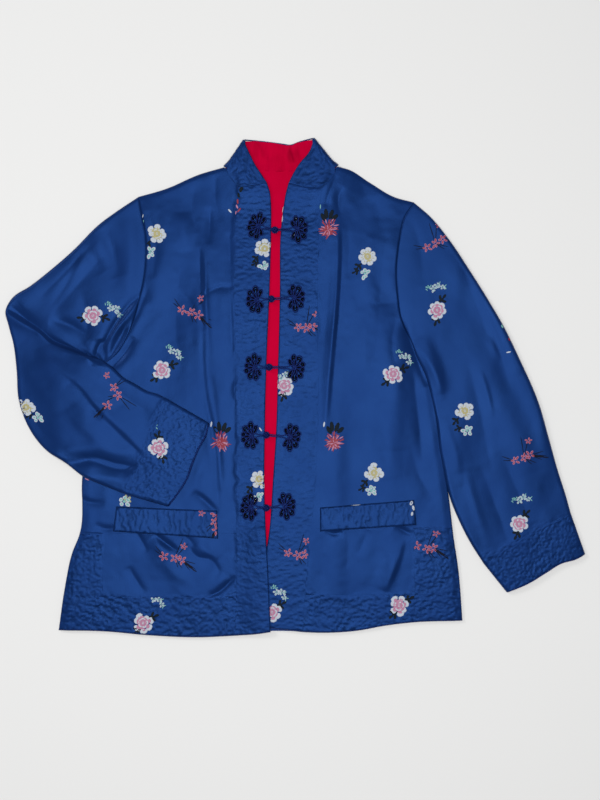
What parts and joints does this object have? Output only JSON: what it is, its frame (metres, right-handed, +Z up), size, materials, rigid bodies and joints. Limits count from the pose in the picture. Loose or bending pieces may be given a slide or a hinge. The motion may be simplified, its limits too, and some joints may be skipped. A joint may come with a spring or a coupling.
{
  "type": "mandarin collar jacket",
  "caption": "Long-sleeved satin jacket laid flat, with a stand collar, frog fastenings, welt pockets, quilted edges and one sleeve folded over the front.",
  "frame": {"origin": "middle of the jacket's bounding box, on the surface that it lies on", "axes": "+X to the wearer's left, across the jacket as it lies; +Y up towards the collar; +Z up, off the surface"},
  "size_m": [0.8126, 0.699, 0.0145],
  "materials": {
    "blue_satin": "royal blue woven satin with small woven flowers, soft sheen",
    "quilted_satin": "the same satin, closely quilted over thin wadding",
    "red_lining": "smooth crimson satin lining",
    "navy_cord": "near-black navy satin piping"
  },
  "bodies": {
    "root": {"back": "blue_satin", "back_lining": "red_lining", "front_right": "blue_satin", "band_right": "quilted_satin", "pocket_right": "blue_satin", "side_band_right": "quilted_satin", "hem_band_right": "quilted_satin", "sleeve_right": "blue_satin", "cuff_right": "quilted_satin", "welt_right": "quilted_satin", "front_left": "blue_satin", "band_left": "quilted_satin", "pocket_left": "blue_satin", "side_band_left": "quilted_satin", "hem_band_left": "quilted_satin", "sleeve_left": "blue_satin", "cuff_left": "quilted_satin", "welt_left": "quilted_satin", "collar": "quilted_satin", "collar_lining": "red_lining", "frog_right_1": "navy_cord", "frog_left_1": "navy_cord", "button_1": "navy_cord", "frog_right_2": "navy_cord", "frog_left_2": "navy_cord", "button_2": "navy_cord", "frog_right_3": "navy_cord", "frog_left_3": "navy_cord", "button_3": "navy_cord", "frog_right_4": "navy_cord", "frog_left_4": "navy_cord", "button_4": "navy_cord", "frog_right_5": "navy_cord", "frog_left_5": "navy_cord", "button_5": "navy_cord"}
  },
  "joints": []
}
